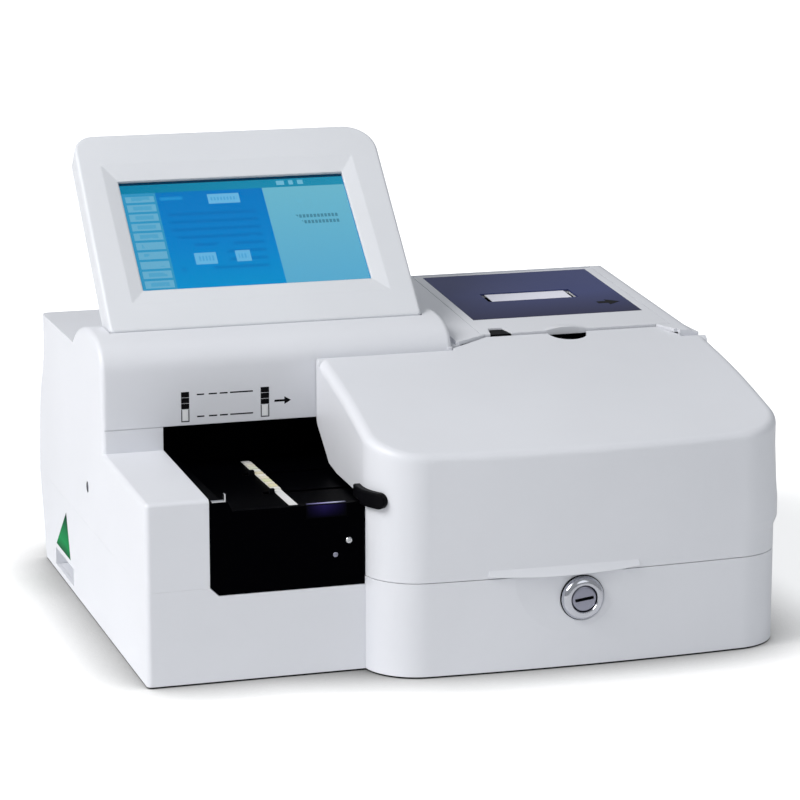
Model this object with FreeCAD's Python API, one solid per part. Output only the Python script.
import math
import os

import FreeCAD
import Part

V = FreeCAD.Vector

# Bench-top strip reader, millimetres. Sizes are set out from the left wall (x), the front
# of the left arm (y) and the ground (z); every piece is then moved so that the origin
# lies on the ground under the middle of the casing.

# Casing
WIDTH = 407.8
WALL = 2.6
GROUND_GAP = 1.2
SEAM_Z = 60.2
SEAM_GAP = 0.4
FLOOR = 3.0
FLOOR_RISE = 0.8
FLOOR_LOW = GROUND_GAP + FLOOR_RISE
FLOOR_TOP = FLOOR_LOW + FLOOR
FLOOR_INSET = WALL + 0.2
RIB_LOW_Z = FLOOR_TOP + 0.05
ARM_WIDTH = 39.6
ARM_TOP_FRONT = 115.6
ARM_TOP_REAR = 119.3
ARM_CORNER_R = 3.2
ARM_TOP_R = 2.6
CHEEK_R = 3.2
HOUSING_R = 8.0
REAR_CORNER_R = 6.0
PEDESTAL_Y = 120.0
FASCIA_Z = 134.3
DECK_Z = 174.5
REAR_BASE_Y = 321.0
REAR_SEAM_Y = 339.5
REAR_TOP_Y = 315.0
HOUSING_INSET = 3.0

# Front block and its lifting cover
BLOCK_X = 137.4
BLOCK_REAR_X = 140.6
BLOCK_FRONT = -32.4
BLOCK_BOW = 3.3
BLOCK_R = 34.0
COVER_FRONT_Z = 139.0
COVER_REAR_Z = 172.0
COVER_REAR_GAP = 0.4
COVER_EDGE_R = 6.0
ROLL_R = 3.6
TONGUE_Y = 136.0
TONGUE_X0 = WIDTH - 146.8
TONGUE_X1 = WIDTH - 26.8
TONGUE_SLANT_X0 = WIDTH - 174.8
TONGUE_SLANT_X1 = WIDTH - 16.8
TONGUE_GAP = 1.4
EAR_WIDTH = 6.0
EAR_X = (WIDTH - 208.8, WIDTH - 10.8)
HINGE_PIN_R = 1.2
RUN_CLEAR = 0.05
PIECE_CLEAR = 0.4
LIP_X0 = 207.0
LIP_X1 = 305.0
LIP_OUT = 2.8
LIP_DROP = 0.8
LIP_HIGH = 5.2
CUTOUT_LOW_Z = 108.8
NOTCH_R = 13.5
NOTCH_X = WIDTH - 90.3
SIDE_SWELL = 2.4

# Display
TILT_DEG = 49.5
DISPLAY_Y = 147.25
DISPLAY_Z = 191.9
DISPLAY_X0 = 12.4
DISPLAY_X1 = 220.6
DISPLAY_HEIGHT = 167.5
DISPLAY_THICK = 22.0
DISPLAY_SPREAD = 3.6
DISPLAY_SPLIT = 10.0
DISPLAY_WALL = 2.4
DISPLAY_R_LEFT = 14.0
DISPLAY_R_RIGHT = 21.0
SCREEN_X0 = 40.4
SCREEN_WIDTH = 154.2
SCREEN_V0 = 34.0
SCREEN_HEIGHT = 93.6
SCREEN_SUNK = 4.2
BEVEL_DEEP = 2.2
BEVEL_SIDE = 9.7
BEVEL_LOW = 12.0
BEVEL_TOP = 13.5
GLASS_THICK = 1.2
LCD_THICK = 3.6
LCD_MARGIN = 2.4
PIVOT_V = 8.0
PIVOT_W = -17.5
TILT_PIN_R = 3.0
PIN_REACH = 8.0
CHEEK_LEFT = 12.0
CHEEK_RIGHT_X0 = 221.0
CHEEK_RIGHT_X1 = 233.0
TROUGH_GAP = 0.3
TROUGH_REAR_Y = 240.0

# Printer
PLATE_WIDTH = 120.4
PLATE_X = WIDTH - 22.9 - PLATE_WIDTH
PLATE_Y = 172.0
PLATE_Z = 180.6
PLATE_SLOPE = 4.66
PLATE_LENGTH = 112.0
PLATE_THICK = 1.2
LID_MARGIN = 6.2
LID_THICK = 3.0
LID_REAR_Y = 290.0
LID_ROLL_R = 3.0
SLOT_U0 = 25.0
SLOT_U1 = 90.0
SLOT_V0 = 42.0
SLOT_V1 = 62.5
PAPER_WIDTH = 57.5
PAPER_THICK = 0.3
ROLL_OUT_R = 21.0
ROLL_CORE_R = 6.5
SPINDLE_R = 6.0
HOUSING_REAR_Y = 299.0

# Strip bay and its transport
BAY_FLOOR_Z = 105.0
BAY_FLOOR_T = 2.4
BAY_BACK_Y = 146.0
BAY_RIM_Z = 107.4
BAY_SIDE_RIM_Z = 113.4
BAY_SIDE_RIM_W = 8.0
BAY_END_X = 298.0
PLATE_BOTTOM_Z = 55.2
FRONT_PLATE_T = 2.4
STRIP_WIDTH = 5.3
STRIP_LENGTH = 122.0
STRIP_THICK = 0.4
STRIP_X = 93.0
STRIP_Y = 9.0
PAD_THICK = 0.8
PAD_COUNT = 11
RAKE_TRAVEL = 150.0
FINGER_Y = (47.0, 97.0)
FINGER_THICK = 3.0
FINGER_WIDTH = 3.0
FINGER_GAP = 0.4
FINGER_TOP_Z = 107.6
GUIDE_R = 3.0
GUIDE_Z = 84.0
GUIDE_Y = (36.0, 110.0)
PULLEY_R = 6.0
BELT_T = 1.0
BELT_GAP = 0.2
BELT_Y = 72.0
BELT_W = 6.0
BELT_Z = 80.0

# Lock
LOCK_X = 268.0
LOCK_Z = 44.0
LOCK_BEZEL_R = 14.0
LOCK_BARREL_R = 9.5
LOCK_PLUG_R = 8.4
LOCK_SEAT_Y = -28.0
LOCK_FRONT_Y = -36.0

# Rear connectors
NICHE_X0 = WIDTH - 211.8
NICHE_X1 = WIDTH - 21.8
NICHE_Z0 = 11.0
NICHE_Z1 = 57.4
NICHE_Y = 312.0
PANEL_T = 1.2
FAN_X = NICHE_X0 + 72.0
FAN_SIZE = 40.0
INLET_X = NICHE_X1 - 36.0
SWITCH_X = INLET_X - 41.0
PORT_X = (NICHE_X0 + 18.0, NICHE_X0 + 40.0)

LEAN = math.radians(TILT_DEG)
TILT_PIVOT_Y = DISPLAY_Y + PIVOT_V * math.sin(LEAN) - PIVOT_W * math.cos(LEAN)
TILT_PIVOT_Z = DISPLAY_Z + PIVOT_V * math.cos(LEAN) + PIVOT_W * math.sin(LEAN)
NICHE_MID_Z = (NICHE_Z0 + NICHE_Z1) / 2
HINGE_Y = PEDESTAL_Y - COVER_REAR_GAP - ROLL_R
REAR_MAX_Y = REAR_SEAM_Y
SHIFT = V(-(WIDTH + SIDE_SWELL) / 2, -(LOCK_FRONT_Y + REAR_MAX_Y) / 2, 0)


def box(x0, x1, y0, y1, z0, z1):
    return Part.makeBox(x1 - x0, y1 - y0, z1 - z0, V(x0, y0, z0))


def rod(start, axis, radius, length):
    return Part.makeCylinder(radius, length, V(*start), V(*axis))


def rod_x(x0, x1, y, z, radius):
    return rod((x0, y, z), (1, 0, 0), radius, x1 - x0)


def rod_y(y0, y1, x, z, radius):
    return rod((x, y0, z), (0, 1, 0), radius, y1 - y0)


def rod_z(z0, z1, x, y, radius):
    return rod((x, y, z0), (0, 0, 1), radius, z1 - z0)


def slab_yz(points, x0, x1):
    """Extrude a polygon given as (y, z) along x."""
    face = Part.Face(Part.makePolygon([V(x0, y, z) for y, z in points + points[:1]]))
    return face.extrude(V(x1 - x0, 0, 0))


def slab_xz(points, y0, y1):
    face = Part.Face(Part.makePolygon([V(x, y0, z) for x, z in points + points[:1]]))
    return face.extrude(V(0, y1 - y0, 0))


def slab_xy(points, z0, z1):
    face = Part.Face(Part.makePolygon([V(x, y, z0) for x, y in points + points[:1]]))
    return face.extrude(V(0, 0, z1 - z0))


def spline(points, final_tangent=None):
    curve = Part.BSplineCurve()
    if final_tangent is None:
        curve.interpolate(points)
    else:
        first = points[1] - points[0]
        curve.interpolate(Points=points, InitialTangent=first.normalize(), FinalTangent=final_tangent)
    return curve.toShape()


def edges_where(shape, test):
    return [edge for edge in shape.Edges if test(edge)]


def fillet_where(shape, radius, test):
    found = edges_where(shape, test)
    return shape.makeFillet(radius, found) if found else shape


def along(edge, axis):
    """True for a straight edge that runs along the named axis."""
    first, last = edge.Vertexes[0].Point, edge.Vertexes[-1].Point
    span = last - first
    others = {"x": (span.y, span.z), "y": (span.x, span.z), "z": (span.x, span.y)}[axis]
    return max(abs(value) for value in others) < 1e-6 and span.Length > 1e-6


def near(value, target, tolerance=0.05):
    return abs(value - target) < tolerance


def joined(*shapes):
    whole = shapes[0]
    for shape in shapes[1:]:
        whole = whole.fuse(shape)
    return whole.removeSplitter()


def group(shapes):
    return Part.makeCompound(shapes)


# Outlines -------------------------------------------------------------------------------


def front_y(x, inset=0.0):
    """Bowed front of the block at x."""
    half = (WIDTH - BLOCK_X) / 2 - BLOCK_R
    middle = (WIDTH + BLOCK_X) / 2
    return BLOCK_FRONT + BLOCK_BOW * ((x - middle) / half) ** 2 + inset


def block_left_points(side_y, inset, rear_y):
    """Left wall of the block from rear_y forward: it leans out towards the front."""
    front, rear = BLOCK_X + inset, BLOCK_REAR_X + inset
    if rear_y > PEDESTAL_Y:
        return [(rear, rear_y), (rear, PEDESTAL_Y), (front, side_y)]
    share = (rear_y - side_y) / (PEDESTAL_Y - side_y)
    return [(front + (rear - front) * share, rear_y), (front, side_y)]


def block_outline(z0, inset, rear_y):
    """The front block in plan: round corners and a bowed front."""
    left, right = BLOCK_X + inset, WIDTH - inset
    radius = BLOCK_R - inset
    lean = math.radians(88)
    corner_left, corner_right = left + radius, right - radius
    side_y = front_y(corner_left, inset) + radius * math.sin(lean)
    ends = [V(corner_left, front_y(corner_left, inset), z0),
            V(corner_right, front_y(corner_right, inset), z0)]
    diagonal = radius * (1 - math.sqrt(0.5))
    start = V(left, side_y, z0)
    stop = V(right, side_y, z0)
    low = ends[0].y
    wall = [V(x, y, z0) for x, y in block_left_points(side_y, inset, rear_y)]
    return Part.Wire([
        *[Part.makeLine(a, b) for a, b in zip(wall, wall[1:])],
        Part.Arc(start, V(left + diagonal, low + diagonal, z0), ends[0]).toShape(),
        Part.Arc(ends[0], V((left + right) / 2, BLOCK_FRONT + inset, z0), ends[1]).toShape(),
        Part.Arc(ends[1], V(right - diagonal, low + diagonal, z0), stop).toShape(),
        Part.makeLine(stop, V(right, rear_y, z0)),
        Part.makeLine(V(right, rear_y, z0), wall[0]),
    ])


def block_prism(z0, z1, inset, rear_y):
    return Part.Face(block_outline(z0, inset, rear_y)).extrude(V(0, 0, z1 - z0))


def rear_profile(inset, x0, x1):
    """Side outline of the casing's back, leaning out to the seam and in again above it."""
    base = [V(x0, REAR_BASE_Y - inset, 0), V(x0, REAR_SEAM_Y - inset, SEAM_Z)]
    heights = [(REAR_SEAM_Y, SEAM_Z), (REAR_SEAM_Y - 3.5, 94), (REAR_SEAM_Y - 12.5, 125), (REAR_TOP_Y, 158)]
    upper = [V(x0, y - inset, z) for y, z in heights]
    edges = [
        Part.makeLine(V(x0, -60, 0), base[0]),
        Part.makeLine(base[0], base[1]),
        spline(upper, V(0, 0, 1)),
        Part.makeLine(upper[-1], V(x0, REAR_TOP_Y - inset, 260)),
        Part.makeLine(V(x0, REAR_TOP_Y - inset, 260), V(x0, -60, 260)),
        Part.makeLine(V(x0, -60, 260), V(x0, -60, 0)),
    ]
    return Part.Face(Part.Wire(edges)).extrude(V(x1 - x0, 0, 0))


def casing_prism(z0, z1, inset, right):
    """Left arm, pedestal and rear in plan, without the front block."""
    whole = box(inset, right - inset, inset, REAR_MAX_Y + 20, z0, z1)
    return whole


def printer_top_z(y):
    return PLATE_Z + (y - PLATE_Y) * math.tan(math.radians(PLATE_SLOPE))


def cover_top_edge(x, drop):
    """Top line of the cover at x, set down by drop."""
    rows = [
        (BLOCK_FRONT - 4, COVER_FRONT_Z - 1.1),
        (5, COVER_FRONT_Z + 10.5),
        (55, COVER_REAR_Z - 10),
        (110, COVER_REAR_Z),
        (TONGUE_Y, COVER_REAR_Z + 4.2),
    ]
    return [V(x, y, z - drop) for y, z in rows]


def under_cover_top(drop, x0, x1, rear_y):
    """Everything below the cover's top line, ahead of rear_y."""
    rows = cover_top_edge(x0, drop)
    first, last = rows[0], rows[-1]
    edges = [
        spline(rows),
        Part.makeLine(last, V(x0, last.y, 0)),
        Part.makeLine(V(x0, last.y, 0), V(x0, first.y, 0)),
        Part.makeLine(V(x0, first.y, 0), first),
    ]
    body = Part.Face(Part.Wire(edges)).extrude(V(x1 - x0, 0, 0))
    return body.common(box(x0 - 1, x1 + 1, -80, rear_y, 0, 260))


def cover_z(y):
    """Height of the cover's top at y."""
    line = Part.makeLine(V(0, y, 100), V(0, y, 250))
    hit = line.distToShape(spline(cover_top_edge(0, 0)))
    return hit[1][0][0].z


HINGE_Z = cover_z(HINGE_Y) - ROLL_R


# Casing ---------------------------------------------------------------------------------

GRIP_Y0, GRIP_Y1 = 222.0, 282.0
GRIP_HIGH = 17.0
GRIP_DEEP = 14.0
VENT_COUNT = 9


def grip_block(side):
    """Solid corner of the base that the hand grip is cut from."""
    reach = GRIP_DEEP + WALL
    x0, x1 = (0, reach) if side < 0 else (WIDTH - reach, WIDTH)
    return box(x0, x1, GRIP_Y0 - WALL, GRIP_Y1 + WALL, RIB_LOW_Z, GRIP_HIGH + WALL)


def grip_hollow(side):
    x0, x1 = (-1, GRIP_DEEP) if side < 0 else (WIDTH - GRIP_DEEP, WIDTH + 1)
    return box(x0, x1, GRIP_Y0, GRIP_Y1, RIB_LOW_Z, GRIP_HIGH)


def base_outer(z0, z1, inset):
    left = casing_prism(z0, z1, inset, WIDTH)
    left = left.cut(box(BLOCK_X + 30, WIDTH + 1, -60, 30, z0 - 1, z1 + 1))
    block = block_prism(z0, z1, inset, 60)
    whole = joined(left, block).common(rear_profile(inset, -1, WIDTH + 1))
    return whole


def lock_recess():
    """Shallow round dish around the lock, deepest under the cover's lip."""
    half, deep = 40.0, 2.2
    radius = (half * half + deep * deep) / (2 * deep)
    middle = (LIP_X0 + LIP_X1) / 2
    return Part.makeSphere(radius, V(middle, BLOCK_FRONT - radius + deep, SEAM_Z + 2))


FOOT_R = 9.0
FOOT_PLACES = [(24, 24), (WIDTH - 28, 14), (24, 296), (WIDTH - 24, 296)]
BOARD_PILLARS = [(30, 175), (170, 175), (30, 290), (170, 290)]
PILLAR_R = 4.0
BOARD_Z = 14.0


def base_shell():
    body = base_outer(GROUND_GAP, SEAM_Z, 0)
    body = fillet_where(body, ARM_CORNER_R,
                        lambda e: along(e, "z") and near(e.BoundBox.XMin, 0) and near(e.BoundBox.YMin, 0))
    body = fillet_where(body, REAR_CORNER_R, lambda e: e.BoundBox.ZLength > 50 and e.BoundBox.YMin > 300)
    hollow = base_outer(GROUND_GAP, SEAM_Z, WALL)
    hollow = fillet_where(hollow, REAR_CORNER_R - WALL,
                          lambda e: e.BoundBox.ZLength > 50 and e.BoundBox.YMin > 300)
    body = body.cut(hollow)
    for side in (-1, 1):
        body = joined(body, grip_block(side)).cut(grip_hollow(side))
    backing = box(LIP_X0 - 8, LIP_X1 + 8, BLOCK_FRONT, BLOCK_FRONT + 11, RIB_LOW_Z, SEAM_Z)
    body = joined(body, backing.common(block_prism(0, 200, 0, 60)))
    body = body.cut(lock_recess())
    body = body.cut(rod_y(BLOCK_FRONT - 10, LOCK_SEAT_Y, LOCK_X, LOCK_Z, LOCK_BEZEL_R + 0.3))
    body = body.cut(rod_y(BLOCK_FRONT - 10, 10, LOCK_X, LOCK_Z, LOCK_BARREL_R + 0.1))
    # The black front plate closes the gap between the arm and the block.
    body = body.cut(slab_xz(
        [(ARM_WIDTH + PIECE_CLEAR, SEAM_Z + 1), (ARM_WIDTH + PIECE_CLEAR, PLATE_BOTTOM_Z + 5),
         (ARM_WIDTH + PIECE_CLEAR + 5, PLATE_BOTTOM_Z), (BLOCK_X, PLATE_BOTTOM_Z), (BLOCK_X, SEAM_Z + 1)],
        -1, WALL + 1))
    # Rear niche
    niche = box(NICHE_X0 - WALL, NICHE_X1 + WALL, NICHE_Y - WALL, REAR_MAX_Y, RIB_LOW_Z, SEAM_Z)
    niche = niche.common(rear_profile(0, 0, WIDTH))
    body = joined(body, niche)
    body = body.cut(box(NICHE_X0, NICHE_X1, NICHE_Y, REAR_MAX_Y + 5, NICHE_Z0, NICHE_Z1))
    body = body.cut(box(NICHE_X0 + 6, NICHE_X1 - 6, NICHE_Y - WALL - 1, NICHE_Y + 1, NICHE_Z0 + 2,
                        NICHE_Z1 - 2))
    return body.cut(lip_shape(PIECE_CLEAR)).cut(mark_prism(0.1))


def floor_plate():
    """Floor let in between the walls, with the pillars that carry the insides."""
    body = base_outer(FLOOR_LOW, FLOOR_TOP, FLOOR_INSET)
    plan = box(FLOOR_INSET, WIDTH - FLOOR_INSET, -60, REAR_BASE_Y - FLOOR_INSET, FLOOR_LOW, FLOOR_TOP)
    body = body.common(fillet_where(plan, REAR_CORNER_R, lambda e: along(e, "z") and e.BoundBox.YMin > 0))
    # Cooling slots under the circuit board
    for index in range(VENT_COUNT):
        x = 55 + index * 10
        body = body.cut(box(x, x + 4, 200, 262, 0, FLOOR_TOP + 1))
    for x, y in BOARD_PILLARS:
        body = joined(body, rod_z(FLOOR_TOP, BOARD_Z, x, y, PILLAR_R))
    for x, y in FRAME_PILLARS:
        body = joined(body, rod_z(FLOOR_TOP, FRAME_LOW_Z, x, y, PILLAR_R))
    return body


HUMP_LOW_Z = 150.0


def hump_outline():
    """Side outline (y, z) of the pedestal's rounded top."""
    return [(PEDESTAL_Y, HUMP_LOW_Z), (PEDESTAL_Y, 158), (PEDESTAL_Y + 0.25, 166),
            (PEDESTAL_Y + 1.2, DECK_Z),
            (PEDESTAL_Y + 4, 180.6), (PEDESTAL_Y + 8.8, 185.3), (PEDESTAL_Y + 19.5, 189.8), (152.7, 191.6),
            (165, 191.8),
            (175, 190.8), (187, 188.2), (198, 183.9), (205.5, 179), (210, DECK_Z)]


def hump(x0, x1, inset):
    rows = hump_outline()
    points = [V(x0, y, z - inset) for y, z in rows]
    edges = [
        spline(points),
        Part.makeLine(points[-1], V(x0, rows[-1][0], 140)),
        Part.makeLine(V(x0, rows[-1][0], 140), V(x0, PEDESTAL_Y, 140)),
        Part.makeLine(V(x0, PEDESTAL_Y, 140), points[0]),
    ]
    return Part.Face(Part.Wire(edges)).extrude(V(x1 - x0, 0, 0))


def lip_y(z):
    """Front wall of the trough at z: it lies against the display's lower edge."""
    return DISPLAY_Y + (DISPLAY_Z - z) / math.tan(LEAN) - TROUGH_GAP / math.sin(LEAN)


def behind_lip(x0, x1, thick):
    """Everything behind the trough's front wall, taking in the wall itself if thick is given."""
    ahead = thick / math.sin(LEAN)
    low, high = 100.0, 196.0
    return slab_yz([(lip_y(low) - ahead, low), (TROUGH_REAR_Y, low), (TROUGH_REAR_Y, 250),
                    (lip_y(high) - ahead, 250),
                    (lip_y(high) - ahead, high)], x0, x1)


def housing_block(drop, inset, radius):
    """Printer housing: sloping top behind the cover, rounded at the right and the rear."""
    x0, x1 = CHEEK_RIGHT_X1 + 4 + inset, WIDTH - HOUSING_INSET - inset
    y0, y1 = PEDESTAL_Y + inset, HOUSING_REAR_Y - inset
    block = slab_yz([(y0, SEAM_Z), (y1, SEAM_Z), (y1, printer_top_z(y1) - drop),
                     (y0, printer_top_z(y0) - drop)], x0, x1)
    block = fillet_where(block, radius,
                         lambda e: e.BoundBox.ZMin > printer_top_z(y0) - drop - 1 and not near(e.BoundBox.YMax, y0)
                         and not near(e.BoundBox.XMax, x0))
    return block


def lid_region(clear):
    """Plan of the printer lid, as (x0, x1, y0, y1)."""
    return (PLATE_X - LID_MARGIN - clear, PLATE_X + PLATE_WIDTH + LID_MARGIN + clear,
            TONGUE_Y + TONGUE_GAP - clear, LID_REAR_Y + clear)


def tongue_plan(grow):
    """Plan of the cover's rear tongue, grown rearwards by grow."""
    base = HINGE_Y - 6
    rear = PEDESTAL_Y - COVER_REAR_GAP + grow
    return [(TONGUE_SLANT_X0, base), (TONGUE_SLANT_X0, rear), (TONGUE_X0, TONGUE_Y + grow),
            (TONGUE_X1, TONGUE_Y + grow), (TONGUE_SLANT_X1, rear), (TONGUE_SLANT_X1, base)]


EYE_R = ROLL_R - 1.2
EAR_DROP = 8.0


def ear(x):
    """Hinge ear: a small eye ahead of the casing's front wall, carried from below."""
    x0, x1 = x - EAR_WIDTH / 2, x + EAR_WIDTH / 2
    eye = rod_x(x0, x1, HINGE_Y, HINGE_Z, EYE_R)
    leg = box(x0, x1, HINGE_Y - EYE_R, HINGE_Y + 0.3, HINGE_Z - EAR_DROP, HINGE_Z)
    foot = box(x0, x1, HINGE_Y - EYE_R, PEDESTAL_Y + WALL, HINGE_Z - EAR_DROP, HINGE_Z - ROLL_R - 0.8)
    return joined(eye, leg, foot).cut(rod_x(x0 - 1, x1 + 1, HINGE_Y, HINGE_Z, HINGE_PIN_R + RUN_CLEAR))


def upper_shell():
    low = SEAM_Z
    right = WIDTH - HOUSING_INSET
    arm = slab_yz([(0, low), (PEDESTAL_Y + 6, low), (PEDESTAL_Y + 6, ARM_TOP_REAR), (0, ARM_TOP_FRONT)], 0,
                  ARM_WIDTH)
    arm = fillet_where(arm, ARM_CORNER_R,
                       lambda e: along(e, "z") and near(e.BoundBox.XMax, 0) and near(e.BoundBox.YMax, 0))
    arm = fillet_where(arm, ARM_TOP_R,
                       lambda e: e.BoundBox.ZMin > ARM_TOP_FRONT - 0.01 and e.BoundBox.YMin < 100
                       and e.BoundBox.XMin < ARM_WIDTH - 0.01)
    deck = box(0, right, PEDESTAL_Y, REAR_MAX_Y + 20, low, DECK_Z)
    deck = fillet_where(deck, CHEEK_R,
                        lambda e: along(e, "z") and near(e.BoundBox.XMax, 0) and near(e.BoundBox.YMax, PEDESTAL_Y))
    deck = deck.cut(box(-1, CHEEK_RIGHT_X1 - CHEEK_R, PEDESTAL_Y - 1, PEDESTAL_Y + 5, HUMP_LOW_Z,
                        DECK_Z + 1))
    crown = fillet_where(hump(0, CHEEK_RIGHT_X1, 0), CHEEK_R,
                         lambda e: e.BoundBox.XLength < 0.01 and e.BoundBox.ZMax > DECK_Z + 1 and e.BoundBox.YLength > 50)
    whole = joined(deck, crown, housing_block(0, 0, HOUSING_R)).common(rear_profile(0, -1, WIDTH + 1))
    whole = fillet_where(whole, REAR_CORNER_R,
                         lambda e: e.BoundBox.ZLength > 10 and e.BoundBox.YMin > REAR_TOP_Y - 1
                         and (near(e.BoundBox.XMax, 0) or near(e.BoundBox.XMin, right)))
    whole = joined(whole, arm)

    room = box(WALL, right - WALL, PEDESTAL_Y + WALL, REAR_MAX_Y + 20, low - 1, DECK_Z - WALL)
    room = room.common(rear_profile(WALL, -1, WIDTH + 1))
    room = fillet_where(room, REAR_CORNER_R - WALL,
                        lambda e: e.BoundBox.ZLength > 10 and e.BoundBox.YMin > REAR_TOP_Y - WALL - 1
                        and e.BoundBox.XLength < 0.01)
    cheeks = hump(WALL, CHEEK_RIGHT_X1 - WALL, WALL).common(box(0, WIDTH, PEDESTAL_Y + WALL, 206, 0, 250))
    cheeks = cheeks.cut(behind_lip(CHEEK_LEFT - WALL, CHEEK_RIGHT_X0 + WALL, WALL))
    arm_room = slab_yz([(WALL, low - 1), (PEDESTAL_Y + 10, low - 1), (PEDESTAL_Y + 10, ARM_TOP_REAR - WALL),
                        (WALL, ARM_TOP_FRONT - WALL)], WALL, ARM_WIDTH - WALL)
    whole = whole.cut(joined(room, housing_block(WALL, WALL, HOUSING_R - WALL), arm_room)).cut(cheeks)

    # Trough between the cheeks, where the display folds down
    trough = behind_lip(CHEEK_LEFT, CHEEK_RIGHT_X1, 0).common(box(0, WIDTH, 0, 400, DECK_Z, 260))
    spread = DISPLAY_SPREAD * (TROUGH_REAR_Y - TILT_PIVOT_Y + PIVOT_V) / DISPLAY_HEIGHT
    trough = trough.common(slab_xy([(CHEEK_LEFT, 90), (CHEEK_RIGHT_X0, 90), (CHEEK_RIGHT_X0, DISPLAY_Y),
                                    (CHEEK_RIGHT_X0 + spread, TROUGH_REAR_Y), (CHEEK_LEFT, TROUGH_REAR_Y)],
                                    0, 260))
    whole = whole.cut(trough)

    # Strip bay: open from the arm to the far end of the bay, below the fascia
    whole = whole.cut(box(ARM_WIDTH, right - WALL, PEDESTAL_Y - 1, PEDESTAL_Y + WALL + 1, low - 1,
                          FASCIA_Z))

    # Pocket for the cover's tongue, which swings down about the hinge
    reach = math.hypot(TONGUE_Y - HINGE_Y, cover_z(TONGUE_Y) - HINGE_Z) + TONGUE_GAP
    pocket_z = HINGE_Z - reach
    pocket_x0, pocket_x1 = TONGUE_SLANT_X0 - PIECE_CLEAR, TONGUE_SLANT_X1 + PIECE_CLEAR
    swing = joined(
        slab_xy(tongue_plan(TONGUE_GAP), pocket_z, 250),
        box(pocket_x0, pocket_x1, PEDESTAL_Y - 1, PEDESTAL_Y + 3 * TONGUE_GAP, pocket_z, 250))
    x0, x1, y0, y1 = lid_region(PIECE_CLEAR)
    swing_wall = joined(
        slab_xy(tongue_plan(TONGUE_GAP + WALL), pocket_z - WALL, DECK_Z - WALL + 1),
        box(pocket_x0 - WALL, pocket_x1 + WALL, PEDESTAL_Y, PEDESTAL_Y + 3 * TONGUE_GAP + WALL,
            pocket_z - WALL, DECK_Z - WALL + 1)).common(box(0, right, PEDESTAL_Y, 200, 0, 250))
    whole = joined(whole, swing_wall).cut(swing)
    whole = whole.cut(box(x0, x1, y0, y1, DECK_Z - 12, 250))
    whole = whole.cut(rod_x(x0, x1, LID_AXIS_Y, LID_AXIS_Z, LID_ROLL_R + PIECE_CLEAR))

    for x in EAR_X:
        whole = joined(whole, ear(x))

    # Display pin seats in the cheeks
    for x0, x1 in ((1, CHEEK_LEFT), (CHEEK_RIGHT_X0, CHEEK_RIGHT_X1 - 1)):
        whole = joined(whole, rod_x(x0, x1, TILT_PIVOT_Y, TILT_PIVOT_Z, TILT_PIN_R + 2.4))
    for x0, x1 in ((CHEEK_LEFT - PIN_REACH - 0.4, CHEEK_LEFT + 1),
                   (CHEEK_RIGHT_X0 - 1, CHEEK_RIGHT_X0 + PIN_REACH + 0.4)):
        whole = whole.cut(rod_x(x0, x1, TILT_PIVOT_Y, TILT_PIVOT_Z, TILT_PIN_R + RUN_CLEAR))
    for boss in lid_ears().Solids:
        whole = joined(whole, boss)
    for a, b in lid_pin_spans():
        whole = whole.cut(rod_x(a - 0.2, b + 0.2, LID_AXIS_Y, LID_AXIS_Z, HINGE_PIN_R + RUN_CLEAR))
    whole = whole.cut(side_screw_pockets())
    # Fascia joint line across the arm
    whole = whole.cut(box(0.6, ARM_WIDTH, PEDESTAL_Y - 1, PEDESTAL_Y + 0.5, FASCIA_Z - 0.5, FASCIA_Z))
    return whole


LID_AXIS_Y = LID_REAR_Y - LID_ROLL_R
LID_AXIS_Z = printer_top_z(LID_AXIS_Y) - LID_ROLL_R


def feet():
    return group([rod_z(0, FLOOR_LOW, x, y, FOOT_R) for x, y in FOOT_PLACES])



# Front cover ----------------------------------------------------------------------------

COVER_LOW_Z = SEAM_Z + SEAM_GAP
COVER_REAR_Y = HINGE_Y + ROLL_R
GRIP_BAR_Z0, GRIP_BAR_Z1 = 106.0, 116.0
GRIP_BAR_T = 4.2
GRIP_BAR_END_DEG = 42.0
GRIP_BAR_REAR_Y = 12.0
FLARE_REAR_Y = 44.0
FLARE_ROWS = [(128.0, 0.0), (104.0, 1.2), (92.0, 2.3), (81.0, SIDE_SWELL), (75.5, 0.0)]


def lip_shape(grow):
    """Finger lip under the cover's front edge: its lower side sags in an arc and its face slopes back upward."""
    middle = (LIP_X0 + LIP_X1) / 2
    low = COVER_LOW_Z - LIP_DROP - grow
    y0 = BLOCK_FRONT - 8
    end_z = COVER_LOW_Z + LIP_HIGH / 4
    start, stop = V(LIP_X0 - grow, y0, end_z), V(LIP_X1 + grow, y0, end_z)
    wire = Part.Wire([
        Part.Arc(start, V(middle, y0, low), stop).toShape(),
        Part.makeLine(stop, V(stop.x, y0, COVER_LOW_Z + LIP_HIGH)),
        Part.makeLine(V(stop.x, y0, COVER_LOW_Z + LIP_HIGH), V(start.x, y0, COVER_LOW_Z + LIP_HIGH)),
        Part.makeLine(V(start.x, y0, COVER_LOW_Z + LIP_HIGH), start),
    ])
    block = Part.Face(wire).extrude(V(0, 8 + WALL + grow, 0))
    if grow:
        return block.common(block_prism(0, 200, -LIP_OUT, 60))
    slope = [block_outline(low, -LIP_OUT, 60), block_outline(COVER_LOW_Z + LIP_HIGH + 0.01, 0.02, 60)]
    return block.common(Part.makeLoft(slope, True, True))


def cover_outer(drop, inset, rear_y):
    body = block_prism(COVER_LOW_Z - 5 * (inset > 0), 240, inset, rear_y)
    return body.common(under_cover_top(drop, 0, WIDTH + 20, rear_y))


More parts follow.
